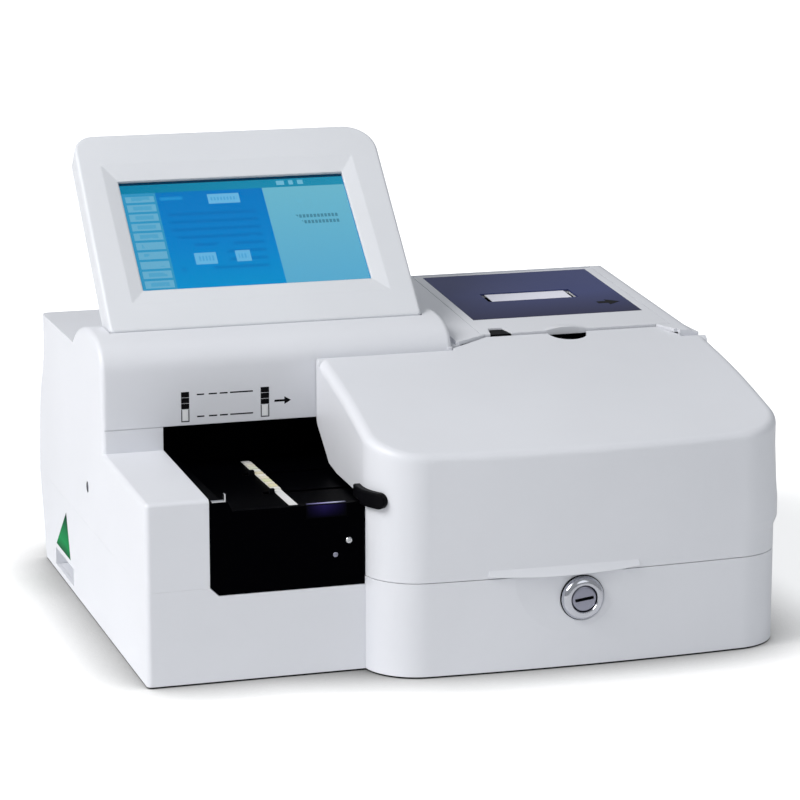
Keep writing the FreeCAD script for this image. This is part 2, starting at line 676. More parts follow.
def side_flare():
    """The right wall leans out towards a finger edge and steps back under it."""
    slices = []
    for z, out in FLARE_ROWS:
        slices.append(block_outline(z, 0, FLARE_REAR_Y + 20).translated(V(out, 0, 0)))
    flare = Part.makeLoft(slices, True, True)
    taper_r = (FLARE_REAR_Y ** 2 + SIDE_SWELL ** 2) / (2 * SIDE_SWELL)
    taper = joined(rod_z(0, 200, WIDTH + SIDE_SWELL - taper_r, 0, taper_r),
                   box(0, WIDTH + 20, -60, 0, 0, 200))
    return flare.common(taper).cut(block_prism(0, 240, WALL / 2, FLARE_REAR_Y + 30)).common(
        box(WIDTH - 60, WIDTH + 20, -60, FLARE_REAR_Y, 0, 200))


def front_cover():
    outer = cover_outer(0, 0, COVER_REAR_Y)
    outer = fillet_where(outer, COVER_EDGE_R,
                         lambda e: e.BoundBox.ZMin > COVER_FRONT_Z - 8 and e.BoundBox.YMin < COVER_REAR_Y - 1)
    shell = outer.cut(cover_outer(WALL, WALL, COVER_REAR_Y + 5))
    # Round rear edge, concentric with the hinge
    shell = shell.cut(box(BLOCK_X - 1, WIDTH + 1, HINGE_Y, COVER_REAR_Y + 1, HINGE_Z, 240))
    roll_ends = block_prism(0, 240, 0, COVER_REAR_Y + 5).common(box(0, 500, 0, 200, 0, 240))
    roll = rod_x(BLOCK_X, WIDTH, HINGE_Y, HINGE_Z, ROLL_R).common(roll_ends)
    roll = roll.cut(box(TONGUE_SLANT_X0 + 2, TONGUE_SLANT_X1 - 2, 0, 200, 0, 240))
    shell = joined(shell, roll)
    skin = under_cover_top(0, 0, WIDTH, TONGUE_Y + 5).cut(under_cover_top(WALL, -1, WIDTH + 1,
            TONGUE_Y + 5))
    tongue = skin.common(slab_xy(tongue_plan(0), 100, 240))
    tongue = tongue.cut(rod_z(100, 240, NOTCH_X, TONGUE_Y, NOTCH_R))
    shell = joined(shell, tongue)
    # Left wall stops above the strip bay
    cutout = [(WALL - 2, 0), (WALL - 2, CUTOUT_LOW_Z), (68, CUTOUT_LOW_Z), (88, CUTOUT_LOW_Z + 2.2),
              (102, 120),
              (117, 129.2), (COVER_REAR_Y + 2, FASCIA_Z + 0.6), (COVER_REAR_Y + 2, 0)]
    shell = shell.cut(slab_yz(cutout, BLOCK_X - 1, BLOCK_REAR_X + WALL + 1))
    shell = joined(shell, lip_shape(0))
    shell = joined(shell, side_flare())
    for x in EAR_X:
        x0, x1 = x - EAR_WIDTH / 2 - PIECE_CLEAR, x + EAR_WIDTH / 2 + PIECE_CLEAR
        shell = shell.cut(rod_x(x0, x1, HINGE_Y, HINGE_Z, EYE_R + PIECE_CLEAR))
        shell = shell.cut(box(x0, x1, HINGE_Y - EYE_R - PIECE_CLEAR, COVER_REAR_Y + 1,
                              HINGE_Z - EAR_DROP - 2, HINGE_Z))
    for x0, x1 in hinge_pin_spans():
        shell = shell.cut(rod_x(x0, x1, HINGE_Y, HINGE_Z, HINGE_PIN_R + RUN_CLEAR / 2))
    return shell


def hinge_pin_spans():
    reach = 9.0
    return [(x - EAR_WIDTH / 2 - reach + 2, min(x + EAR_WIDTH / 2 + reach, WIDTH - 1.2)) for x in EAR_X]


def hinge_pins():
    return group([rod_x(x0, x1, HINGE_Y, HINGE_Z, HINGE_PIN_R) for x0, x1 in hinge_pin_spans()])


def cover_grip():
    """Black bar round the cover's lower left corner."""
    ring = block_prism(GRIP_BAR_Z0, GRIP_BAR_Z1, -GRIP_BAR_T, 60).cut(block_prism(0, 200, -0.05, 61))
    bar = ring.common(box(0, BLOCK_X + BLOCK_R, -60, GRIP_BAR_REAR_Y, 0, 200))
    middle = (BLOCK_X + BLOCK_R, front_y(BLOCK_X + BLOCK_R) + BLOCK_R)
    half_high = (GRIP_BAR_Z1 - GRIP_BAR_Z0) / 2
    turn = math.radians(GRIP_BAR_END_DEG) - half_high / (BLOCK_R + GRIP_BAR_T)
    far = 60.0
    end = (middle[0] - far * math.cos(turn), middle[1] - far * math.sin(turn))
    nose = Part.makeCylinder(half_high, far, V(*middle, GRIP_BAR_Z0 + half_high),
                             V(end[0] - middle[0], end[1] - middle[1], 0))
    nose = nose.common(ring)
    bar = bar.cut(slab_xy([middle, end, (end[0], end[1] - far), (middle[0], end[1] - far)], 0, 200))
    bar = joined(bar, nose)
    bar = bar.cut(box(0, BLOCK_X + 30, -FRONT_PLATE_T / 2, 60, 0, BAY_RIM_Z + 1.2))
    return fillet_where(bar, 1.2, lambda e: near(e.BoundBox.ZLength, 0) and e.BoundBox.YMin < -FRONT_PLATE_T
                        and e.BoundBox.XMin < middle[0] - BLOCK_R - GRIP_BAR_T / 2)


KEEPER_X0, KEEPER_X1 = 275.0, 291.0
KEEPER_T = 1.6
CAM_Y0, CAM_T = -7.2, 2.5


def lock_keeper():
    y0 = front_y(KEEPER_X0) + WALL + 0.3
    z0 = COVER_LOW_Z + 0.6
    plate = box(KEEPER_X0, KEEPER_X1, y0, y0 + KEEPER_T, z0, z0 + 20)
    shelf = box(KEEPER_X0, KEEPER_X1, y0, CAM_Y0 + CAM_T + 1, z0, z0 + KEEPER_T)
    return joined(plate, shelf)


# Lock -----------------------------------------------------------------------------------

LOCK_BARREL_REAR_Y = -8.0
LOCK_NUT_R = 13.0


def lock_body():
    flange = rod_y(LOCK_FRONT_Y, LOCK_SEAT_Y, LOCK_X, LOCK_Z, LOCK_BEZEL_R)
    flange = fillet_where(flange, 3.0,
                          lambda e: near(e.BoundBox.YMax, LOCK_FRONT_Y, 0.01) and near(e.BoundBox.YMin, LOCK_FRONT_Y, 0.01))
    barrel = rod_y(LOCK_SEAT_Y, LOCK_BARREL_REAR_Y, LOCK_X, LOCK_Z, LOCK_BARREL_R)
    body = joined(flange, barrel)
    body = body.cut(rod_y(LOCK_FRONT_Y - 1, LOCK_BARREL_REAR_Y + 1, LOCK_X, LOCK_Z,
                          LOCK_PLUG_R + RUN_CLEAR))
    return body


def lock_plug():
    plug = rod_y(LOCK_FRONT_Y + 0.6, CAM_Y0, LOCK_X, LOCK_Z, LOCK_PLUG_R)
    slot = box(LOCK_X - 5.6, LOCK_X + 5.6, LOCK_FRONT_Y, LOCK_FRONT_Y + 4, LOCK_Z - 0.8, LOCK_Z + 0.8)
    slot.rotate(V(LOCK_X, 0, LOCK_Z), V(0, 1, 0), -7)
    stud = rod_y(CAM_Y0, CAM_Y0 + CAM_T, LOCK_X, LOCK_Z, 3.0)
    return joined(plug.cut(slot), stud)


def lock_cam():
    """Hooked cam, turned aside: it swings up over the keeper's shelf."""
    hook_low = COVER_LOW_Z + 0.6 + KEEPER_T + 0.6 - LOCK_Z
    points = [(-5.5, -7), (5.5, -7), (5.5, hook_low), (14, hook_low), (14, hook_low + 4.5),
              (-5.5, hook_low + 4.5)]
    cam = slab_xz([(LOCK_X + x, LOCK_Z + z) for x, z in points], CAM_Y0, CAM_Y0 + CAM_T)
    cam = cam.cut(rod_y(CAM_Y0 - 1, 0, LOCK_X, LOCK_Z, 3.0 + RUN_CLEAR / 2))
    cam.rotate(V(LOCK_X, 0, LOCK_Z), V(0, 1, 0), -90)
    return cam


def lock_nut():
    y0 = BLOCK_FRONT + 11.0
    points = [(LOCK_X + LOCK_NUT_R * math.cos(math.radians(a)),
               LOCK_Z + LOCK_NUT_R * math.sin(math.radians(a)))
              for a in range(0, 360, 60)]
    nut = slab_xz(points, y0, y0 + 4)
    return nut.cut(rod_y(y0 - 1, y0 + 5, LOCK_X, LOCK_Z, LOCK_BARREL_R + RUN_CLEAR / 2))


# Display --------------------------------------------------------------------------------
# Display pieces are built lying down: x across, y up the slant, z out of the screen.


def stand(shape):
    shape.rotate(V(0, 0, 0), V(1, 0, 0), 90 - TILT_DEG)
    shape.translate(V(0, DISPLAY_Y, DISPLAY_Z))
    return shape


def display_prism(w0, w1, inset):
    left, right = DISPLAY_X0 + inset, DISPLAY_X1 - inset
    low, high = inset, DISPLAY_HEIGHT - inset
    points = [(left, low), (right, low), (right + DISPLAY_SPREAD, high), (left + DISPLAY_SPREAD, high)]
    body = slab_xy(points, w0, w1)
    body = fillet_where(body, DISPLAY_R_LEFT - inset,
                        lambda e: along(e, "z") and e.BoundBox.XMax < 30 and e.BoundBox.YMin > 100)
    body = fillet_where(body, DISPLAY_R_RIGHT - inset,
                        lambda e: along(e, "z") and e.BoundBox.XMin > 190 and e.BoundBox.YMin > 100)
    return fillet_where(body, max(3.0 - inset, 0.4), lambda e: along(e, "z") and e.BoundBox.YMax < 100)


def screen_rect(w, side, low, top):
    x0, x1 = SCREEN_X0 - side, SCREEN_X0 + SCREEN_WIDTH + side
    y0, y1 = SCREEN_V0 - low, SCREEN_V0 + SCREEN_HEIGHT + top
    return Part.makePolygon([V(x0, y0, w), V(x1, y0, w), V(x1, y1, w), V(x0, y1, w), V(x0, y0, w)])


def display_bezel():
    body = display_prism(-DISPLAY_SPLIT, 0, 0)
    body = fillet_where(body, 2.0, lambda e: near(e.BoundBox.ZMin, 0) and near(e.BoundBox.ZMax, 0))
    body = body.cut(display_prism(-DISPLAY_SPLIT - 1, -SCREEN_SUNK, DISPLAY_WALL))
    bevel = Part.makeLoft([screen_rect(0.01, BEVEL_SIDE, BEVEL_LOW, BEVEL_TOP),
                           screen_rect(-BEVEL_DEEP, 0, 0, 0)], True, True)
    body = body.cut(bevel)
    window = Part.Face(screen_rect(-SCREEN_SUNK - 1, 0, 0,
                                   0)).extrude(V(0, 0, SCREEN_SUNK - BEVEL_DEEP + 1.1))
    return stand(body.cut(window))


def touch_glass():
    high = -SCREEN_SUNK - 0.1
    return stand(Part.Face(screen_rect(high - GLASS_THICK, 4, 4, 4)).extrude(V(0, 0, GLASS_THICK)))


def lcd_panel():
    high = -SCREEN_SUNK - 0.1 - GLASS_THICK - 0.1
    return stand(Part.Face(screen_rect(high - LCD_THICK, LCD_MARGIN, LCD_MARGIN,
                                       LCD_MARGIN)).extrude(V(0, 0, LCD_THICK)))


BOARD_W = -16.0
DISPLAY_BOARD_T = 1.6
DISPLAY_PILLARS = [(51, 40), (182, 40), (51, 118), (182, 118)]


def display_back():
    body = display_prism(-DISPLAY_THICK, -DISPLAY_SPLIT - 0.05, 0)
    body = fillet_where(body, 4.5,
                        lambda e: near(e.BoundBox.ZMin, -DISPLAY_THICK) and near(e.BoundBox.ZMax, -DISPLAY_THICK))
    hollow = display_prism(-DISPLAY_THICK + DISPLAY_WALL, 0, DISPLAY_WALL)
    boss = rod_x(DISPLAY_X0, DISPLAY_X1, PIVOT_V, PIVOT_W, TILT_PIN_R + 2.4).common(body)
    shell = joined(body.cut(hollow), boss)
    for x, y in DISPLAY_PILLARS:
        shell = joined(shell, rod_z(-DISPLAY_THICK + 0.5, BOARD_W - DISPLAY_BOARD_T, x, y, 3.0))
    for index in range(8):
        x = 87 + index * 8
        shell = shell.cut(box(x, x + 3.2, 128, 146, -DISPLAY_THICK - 1, -DISPLAY_THICK + DISPLAY_WALL + 1))
    shell = shell.cut(rod_x(DISPLAY_X0 - 1, DISPLAY_X1 + 5, PIVOT_V, PIVOT_W, TILT_PIN_R + 0.02))
    return stand(shell)


def display_board():
    board = box(45, 188, 33, 125, BOARD_W - DISPLAY_BOARD_T, BOARD_W)
    chip = box(97, 123, 66, 92, BOARD_W, BOARD_W + 2.4)
    plug = box(67, 91, 40, 47, BOARD_W, BOARD_W + 4)
    return stand(joined(board, chip, plug))


def display_shaft():
    return rod_x(CHEEK_LEFT - PIN_REACH, CHEEK_RIGHT_X0 + PIN_REACH, TILT_PIVOT_Y, TILT_PIVOT_Z, TILT_PIN_R)


def display_screws():
    places = [(31, 24), (202, 24), (37, 150), (200, 142)]
    heads = group([rod_z(-DISPLAY_THICK - 0.9, -DISPLAY_THICK - 0.02, x, y, 3.0) for x, y in places])
    return stand(heads)


FOLD_REST_X = (50.0, 170.0)
FOLD_REST_Y = 272.0


def folded_back_z():
    return TILT_PIVOT_Z - (DISPLAY_THICK + PIVOT_W)


def fold_rests():
    """Soft pads on the deck that carry the folded display."""
    return group([rod_z(DECK_Z, folded_back_z() - 1.4, x, FOLD_REST_Y, 5.0) for x in FOLD_REST_X])


# Printer --------------------------------------------------------------------------------


def sloped(x0, x1, y0, y1, top_drop, low_drop):
    """Plate parallel to the printer housing's sloping top."""
    return slab_yz([(y0, printer_top_z(y0) - top_drop), (y1, printer_top_z(y1) - top_drop),
                    (y1, printer_top_z(y1) - low_drop), (y0, printer_top_z(y0) - low_drop)], x0, x1)


LATCH_X0, LATCH_X1 = TONGUE_X0 + 4.0, TONGUE_X0 + 18.0
LATCH_DEEP = 11.0
LATCH_TRAVEL = 1.5
LATCH_GAP = 0.5


def latch_plan(grow, travel):
    y0 = TONGUE_Y + TONGUE_GAP
    return [(LATCH_X0 - grow, y0 - grow), (LATCH_X1 + grow, y0 - grow),
            (LATCH_X1 - 2.5 + grow, y0 + LATCH_DEEP + travel + grow),
            (LATCH_X0 + 2.5 - grow, y0 + LATCH_DEEP + travel + grow)]


def slot_opening(grow):
    y0, y1 = PLATE_Y + SLOT_V0 - grow, PLATE_Y + SLOT_V1 + grow
    return box(PLATE_X + SLOT_U0 - grow, PLATE_X + SLOT_U1 + grow, y0, y1, 150, 230)


def printer_lid():
    x0, x1, y0, y1 = lid_region(0)
    lid = sloped(x0, x1, y0, LID_AXIS_Y, 0, LID_THICK)
    roll = rod_x(x0, x1, LID_AXIS_Y, LID_AXIS_Z, LID_ROLL_R)
    bump_r = 60.0
    bump_top = printer_top_z(y0 + 5) + 1.5
    bump = Part.makeSphere(bump_r, V(NOTCH_X, y0 + 2, bump_top - bump_r)).common(
        box(NOTCH_X - 30, NOTCH_X + 30, y0, y0 + 30, printer_top_z(y0) - 1, 230))
    lid = joined(lid, roll, bump)
    edge = 0.15
    pocket = sloped(PLATE_X - edge, PLATE_X + PLATE_WIDTH + edge, PLATE_Y - edge,
                    PLATE_Y + PLATE_LENGTH + edge, -3, PLATE_THICK + 0.05)
    lid = lid.cut(pocket).cut(slot_opening(0.5)).cut(slab_xy(latch_plan(LATCH_GAP, LATCH_TRAVEL), 150, 230))
    shelf = sloped(LATCH_X0 - 2, LATCH_X1 + 2, y0 + 1, y0 + LATCH_DEEP + 5, LID_THICK, LID_THICK + 1.5)
    lid = joined(lid, shelf)
    for a, b in lid_pin_spans():
        lid = lid.cut(rod_x(a, b, LID_AXIS_Y, LID_AXIS_Z, HINGE_PIN_R + RUN_CLEAR / 2))
    return lid


def lid_pin_spans():
    x0, x1, _, _ = lid_region(0)
    return [(x0 - 5, x0 + 9), (x1 - 9, x1 + 5)]


def lid_pins():
    return group([rod_x(a, b, LID_AXIS_Y, LID_AXIS_Z, HINGE_PIN_R) for a, b in lid_pin_spans()])


def lid_ears():
    """Bosses in the housing that carry the lid's hinge pins."""
    x0, x1, _, _ = lid_region(PIECE_CLEAR)
    return group([rod_x(x0 - 8, x0, LID_AXIS_Y, LID_AXIS_Z, 2.6),
                  rod_x(x1, x1 + 8, LID_AXIS_Y, LID_AXIS_Z, 2.6)])


def printer_plate():
    plate = sloped(PLATE_X, PLATE_X + PLATE_WIDTH, PLATE_Y, PLATE_Y + PLATE_LENGTH, 0, PLATE_THICK)
    return plate.cut(slot_opening(0))


def printer_latch():
    top = sloped(LATCH_X0 - 5, LATCH_X1 + 5, TONGUE_Y, TONGUE_Y + 40, 0.6, LID_THICK - 0.1)
    return slab_xy(latch_plan(0, 0), 150, 230).common(top)


BUCKET_X0, BUCKET_X1 = WIDTH - 145.8, WIDTH - 19.8
BUCKET_Y0, BUCKET_Y1 = 152.0, 282.0
BUCKET_LOW_Z = 122.0
BUCKET_WALL = 2.0
FLANGE_DROP = 3.45
ROLL_Y, ROLL_Z = 250.0, 149.0
PLATEN_Y, PLATEN_Z, PLATEN_R, PLATEN_SHAFT_R = 212.6, 172.0, 5.5, 2.0
HEAD_Y0, HEAD_Y1 = 192.0, 206.6


def printer_bucket():
    t = BUCKET_WALL
    outer = slab_yz([(BUCKET_Y0, BUCKET_LOW_Z), (BUCKET_Y1, BUCKET_LOW_Z),
                     (BUCKET_Y1, printer_top_z(BUCKET_Y1) - FLANGE_DROP),
                     (BUCKET_Y0, printer_top_z(BUCKET_Y0) - FLANGE_DROP)],
                    BUCKET_X0, BUCKET_X1)
    x0, x1, y0, _ = lid_region(0)
    flange = sloped(x0 - 8, x1 + 8, y0 + 5, BUCKET_Y1, FLANGE_DROP, FLANGE_DROP + t)
    room = box(BUCKET_X0 + t, BUCKET_X1 - t, BUCKET_Y0 + t, BUCKET_Y1 - t, BUCKET_LOW_Z + t, 240)
    bucket = joined(outer, flange).cut(room)
    latch_room = box(LATCH_X0 - 4, LATCH_X1 + 4, y0, y0 + LATCH_DEEP + 8, 160, 230)
    holes = [rod_x(BUCKET_X0 - 1, BUCKET_X0 + t + 1, PLATEN_Y, PLATEN_Z, PLATEN_SHAFT_R + RUN_CLEAR),
             rod_x(BUCKET_X1 - t - 1, BUCKET_X1 + 1, PLATEN_Y, PLATEN_Z, PLATEN_SHAFT_R + RUN_CLEAR)]
    for hole in holes:
        bucket = bucket.cut(hole)
    return bucket.cut(latch_room)


def roll_spindle():
    return rod_x(BUCKET_X0 + BUCKET_WALL + 0.2, BUCKET_X1 - BUCKET_WALL - 0.2, ROLL_Y, ROLL_Z, SPINDLE_R)


PAPER_X0 = PLATE_X + 57.2 - PAPER_WIDTH / 2


def paper_roll():
    roll = rod_x(PAPER_X0, PAPER_X0 + PAPER_WIDTH, ROLL_Y, ROLL_Z, ROLL_OUT_R)
    return roll.cut(rod_x(PAPER_X0 - 1, PAPER_X0 + PAPER_WIDTH + 1, ROLL_Y, ROLL_Z, SPINDLE_R + 0.1))


def paper_web():
    """Paper from the roll up past the platen and flat under the slot."""
    drop = 0.9
    front, rear = PLATE_Y + SLOT_V0 + 1.2, PLATE_Y + SLOT_V1 - 0.6
    roll_side = ROLL_Y - ROLL_OUT_R - 0.4
    t = PAPER_THICK
    points = [(rear, printer_top_z(rear) - drop), (front, printer_top_z(front) - drop), (roll_side, ROLL_Z),
              (roll_side - t, ROLL_Z), (front - t, printer_top_z(front) - drop + 0.1),
              (front - t, printer_top_z(front) - drop + t), (rear, printer_top_z(rear) - drop + t)]
    return slab_yz(points, PAPER_X0, PAPER_X0 + PAPER_WIDTH)


def platen_roller():
    shaft = rod_x(BUCKET_X0 - 0.5, BUCKET_X1 + 0.5, PLATEN_Y, PLATEN_Z, PLATEN_SHAFT_R)
    rubber = rod_x(PAPER_X0 - 3, PAPER_X0 + PAPER_WIDTH + 3, PLATEN_Y, PLATEN_Z, PLATEN_R)
    return joined(shaft, rubber)


def print_head():
    block = box(PAPER_X0 - 8, PAPER_X0 + PAPER_WIDTH + 8, HEAD_Y0, HEAD_Y1, BUCKET_LOW_Z + BUCKET_WALL,
                PLATEN_Z + 3)
    return block.cut(box(PAPER_X0 - 4, PAPER_X0 + PAPER_WIDTH + 4, HEAD_Y0 - 1, HEAD_Y1 - 6,
                         BUCKET_LOW_Z + 8, PLATEN_Z - 6))


# Strip bay ------------------------------------------------------------------------------


def finger_slot(y):
    return box(STRIP_X - FINGER_GAP - FINGER_THICK - 4, STRIP_X + RAKE_TRAVEL + 6,
               y - FINGER_WIDTH / 2 - 0.6,
               y + FINGER_WIDTH / 2 + 0.6, BAY_FLOOR_Z - 10, BAY_FLOOR_Z + 1)


BAY_X0 = ARM_WIDTH + PIECE_CLEAR
BAY_ROOF_Z = FASCIA_Z + 0.5
FRONT_PLATE_X1 = BLOCK_X - PIECE_CLEAR


def bay_platform():
    low = BAY_FLOOR_Z - BAY_FLOOR_T
    floor = box(BAY_X0, BAY_END_X, FRONT_PLATE_T, BAY_BACK_Y, low, BAY_FLOOR_Z)
    rim = box(BAY_X0, FRONT_PLATE_X1, FRONT_PLATE_T, FRONT_PLATE_T + 2, low, BAY_RIM_Z)
    side = box(BAY_X0, BAY_X0 + BAY_SIDE_RIM_W, FRONT_PLATE_T, BAY_BACK_Y, low, BAY_SIDE_RIM_Z)
    back = box(BAY_X0, BAY_END_X, BAY_BACK_Y, BAY_BACK_Y + 2, low, BAY_ROOF_Z + 2)
    end = box(BAY_X0, BAY_X0 + 2, PEDESTAL_Y + 7, BAY_BACK_Y + 2, low, BAY_ROOF_Z + 2)
    roof = box(BAY_X0, BAY_END_X, PEDESTAL_Y + WALL + 0.3, BAY_BACK_Y + 2, BAY_ROOF_Z, BAY_ROOF_Z + 2)
    body = joined(floor, rim, side, back, end, roof)
    for y in FINGER_Y:
        body = body.cut(finger_slot(y))
    return body


def bay_front_plate():
    left, right, low = BAY_X0, FRONT_PLATE_X1, PLATE_BOTTOM_Z + PIECE_CLEAR
    points = [(left, low + 5), (left + 5, low), (right, low), (right, BAY_RIM_Z), (left + 14, BAY_RIM_Z),
              (left + 11, BAY_SIDE_RIM_Z), (left, BAY_SIDE_RIM_Z)]
    return slab_xz(points, 0, FRONT_PLATE_T - 0.05)


BAY_SCREWS = [(127.2, 83.8, 2.1), (118.6, 75.3, 1.6)]


def bay_screws():
    return group([rod_y(-1.3, 0, x, z, r) for x, z, r in BAY_SCREWS])


def strip_stop():
    """Small bright angle on the bay's left corner."""
    x0, x1 = BAY_X0 + 1.4, BAY_X0 + BAY_SIDE_RIM_W + 2
    foot = box(x0, x1, 0.3, 3.2, BAY_SIDE_RIM_Z, BAY_SIDE_RIM_Z + 0.9)
    leg = box(x1 - 0.9, x1, 0.3, 3.2, BAY_SIDE_RIM_Z, BAY_SIDE_RIM_Z + 5)
    return joined(foot, leg)


def test_strip():
    return box(STRIP_X, STRIP_X + STRIP_WIDTH, STRIP_Y, STRIP_Y + STRIP_LENGTH, BAY_FLOOR_Z + 0.05,
               BAY_FLOOR_Z + 0.05 + STRIP_THICK)


def strip_pads():
    z0 = BAY_FLOOR_Z + 0.05 + STRIP_THICK
    pitch = 6.9
    start = STRIP_Y + STRIP_LENGTH - 3.5 - PAD_COUNT * pitch
    return group([box(STRIP_X + 0.1, STRIP_X + STRIP_WIDTH - 0.1, start + i * pitch, start + i * pitch + 5,
                      z0, z0 + PAD_THICK)
                  for i in range(PAD_COUNT)])


FRAME_X0, FRAME_X1 = 44.0, 293.0
FRAME_Y0, FRAME_Y1 = 24.0, 122.0
FRAME_LOW_Z = 62.0
FRAME_T = 2.0
DRIVE_X, IDLER_X = 57.0, 282.0
FRAME_PILLARS = [(62, 32), (62, 114), (276, 32), (276, 114)]
MOTOR_R = 9.5


def transport_frame():
    top = BAY_FLOOR_Z - BAY_FLOOR_T - 0.05
    base = box(FRAME_X0, FRAME_X1 + FRAME_T, FRAME_Y0, FRAME_Y1, FRAME_LOW_Z, FRAME_LOW_Z + FRAME_T)
    left = box(FRAME_X0, FRAME_X0 + FRAME_T, FRAME_Y0, FRAME_Y1, FRAME_LOW_Z, top)
    right = box(FRAME_X1, FRAME_X1 + FRAME_T, FRAME_Y0, FRAME_Y1, FRAME_LOW_Z, top)
    wing = BELT_W / 2 + 5
    cheeks = [box(IDLER_X - 5, IDLER_X + 5, BELT_Y + side * wing - 1.5, BELT_Y + side * wing + 1.5,
                  FRAME_LOW_Z, BELT_Z + 6)
              for side in (-1, 1)]
    mount = box(DRIVE_X - 11, DRIVE_X + 11, BELT_Y + wing - 1.5, BELT_Y + wing + 0.5, FRAME_LOW_Z,
                BELT_Z + 11)
    frame = joined(base, left, right, *cheeks, mount)
    for y in GUIDE_Y:
        frame = frame.cut(rod_x(FRAME_X0 - 1, FRAME_X1 + 4, y, GUIDE_Z, GUIDE_R + 0.02))
    frame = frame.cut(rod_y(BELT_Y, BELT_Y + 20, DRIVE_X, BELT_Z, 3.2))
    return frame.cut(rod_y(BELT_Y - 20, BELT_Y + 20, IDLER_X, BELT_Z, 2.02))


def guide_rods():
    return group([rod_x(FRAME_X0, FRAME_X1 + FRAME_T, y, GUIDE_Z, GUIDE_R) for y in GUIDE_Y])


def strip_rake():
    x0 = STRIP_X - FINGER_GAP - FINGER_THICK - 10
    body = box(x0, x0 + 22, GUIDE_Y[0] - 6, GUIDE_Y[1] + 6, GUIDE_Z - 6, GUIDE_Z + 6)
    channel = box(x0 - 1, x0 + 23, BELT_Y - BELT_W / 2 - 2, BELT_Y + BELT_W / 2 + 2, 0,
                  BELT_Z + PULLEY_R + BELT_GAP + BELT_T + 0.3)
    body = body.cut(channel)
    for y in GUIDE_Y:
        body = body.cut(rod_x(x0 - 1, x0 + 23, y, GUIDE_Z, GUIDE_R + RUN_CLEAR))
    for y in FINGER_Y:
        finger = box(STRIP_X - FINGER_GAP - FINGER_THICK, STRIP_X - FINGER_GAP, y - FINGER_WIDTH / 2,
                     y + FINGER_WIDTH / 2,
                     GUIDE_Z, FINGER_TOP_Z)
        body = joined(body, finger)
    return body


def stadium(radius, y0, y1):
    ends = joined(rod_y(y0, y1, DRIVE_X, BELT_Z, radius), rod_y(y0, y1, IDLER_X, BELT_Z, radius),
                  box(DRIVE_X, IDLER_X, y0, y1, BELT_Z - radius, BELT_Z + radius))
    return ends


def drive_belt():
    y0, y1 = BELT_Y - BELT_W / 2, BELT_Y + BELT_W / 2
    inner = PULLEY_R + BELT_GAP
    return stadium(inner + BELT_T, y0, y1).cut(stadium(inner, y0 - 1, y1 + 1))


def pulley(x, bore):
    y0, y1 = BELT_Y - BELT_W / 2 - 0.4, BELT_Y + BELT_W / 2 + 0.4
    body = joined(rod_y(y0, y1, x, BELT_Z, PULLEY_R), rod_y(y0 - 1, y0, x, BELT_Z, PULLEY_R + 2),
                  rod_y(y1, y1 + 1, x, BELT_Z, PULLEY_R + 2))
    return body.cut(rod_y(y0 - 2, y1 + 2, x, BELT_Z, bore))


def drive_pulley():
    return joined(pulley(DRIVE_X, 1.0), rod_y(BELT_Y - BELT_W / 2, BELT_Y + BELT_W / 2 + 5.6, DRIVE_X,
                                              BELT_Z, 1.5))


def idler_pulley():
    return pulley(IDLER_X, 2.0 + RUN_CLEAR)


def idler_axle():
    reach = BELT_W / 2 + 6.5
    return rod_y(BELT_Y - reach, BELT_Y + reach, IDLER_X, BELT_Z, 2.0)


def rake_motor():
    y0 = BELT_Y + BELT_W / 2 + 5.6
    return rod_y(y0, y0 + 24, DRIVE_X, BELT_Z, MOTOR_R)


READER_X0, READER_X1 = 229.0, 265.0
READER_Y0, READER_Y1 = 12.0, 38.0
READER_Z0, READER_Z1 = 112.0, 134.0
READER_ROD_X = (236.0, 258.0)
READER_ROD_Z = 126.0
READER_FRAME_Y = (4.6, 137.0)


def reader_head():
    head = box(READER_X0, READER_X1, READER_Y0, READER_Y1, READER_Z0, READER_Z1)
    head = fillet_where(head, 2.0,
                        lambda e: near(e.BoundBox.ZMin, READER_Z1) and near(e.BoundBox.ZMax, READER_Z1))
    for x in READER_ROD_X:
        head = head.cut(rod_y(READER_Y0 - 1, READER_Y1 + 1, x, READER_ROD_Z, GUIDE_R - 0.5 + RUN_CLEAR))
    lens = rod_z(READER_Z0 - 2, READER_Z0, (READER_X0 + READER_X1) / 2, (READER_Y0 + READER_Y1) / 2, 5)
    return joined(head, lens)


def reader_rods():
    y0, y1 = READER_FRAME_Y
    return group([rod_y(y0, y1 + 3, x, READER_ROD_Z, GUIDE_R - 0.5) for x in READER_ROD_X])


def reader_frame():
    posts = []
    for y in READER_FRAME_Y:
        post = box(READER_X0 - 2, READER_X1 + 2, y, y + 3, BAY_FLOOR_Z, READER_Z1 - 1)
        for x in READER_ROD_X:
            post = post.cut(rod_y(y - 1, y + 4, x, READER_ROD_Z, GUIDE_R - 0.5 + 0.02))
        posts.append(post)
    return group(posts)


WASTE_X0, WASTE_X1 = WIDTH - 104.8, WIDTH - 10.8
WASTE_Y0, WASTE_Y1 = -8.0, 112.0
WASTE_Z0, WASTE_Z1 = FLOOR_TOP + 0.2, 94.0


def waste_box():
    outer = box(WASTE_X0, WASTE_X1, WASTE_Y0, WASTE_Y1, WASTE_Z0, WASTE_Z1)
    outer = fillet_where(outer, 8.0, lambda e: along(e, "z"))
    inner = box(WASTE_X0 + 1.6, WASTE_X1 - 1.6, WASTE_Y0 + 1.6, WASTE_Y1 - 1.6, WASTE_Z0 + 1.6,
                WASTE_Z1 + 1)
    inner = fillet_where(inner, 6.4, lambda e: along(e, "z"))
    tab = box((WASTE_X0 + WASTE_X1) / 2 - 16, (WASTE_X0 + WASTE_X1) / 2 + 16, WASTE_Y0 - 6, WASTE_Y0 + 1,
              WASTE_Z1 - 2, WASTE_Z1)
    return joined(outer, tab).cut(inner)


# Electrics ------------------------------------------------------------------------------


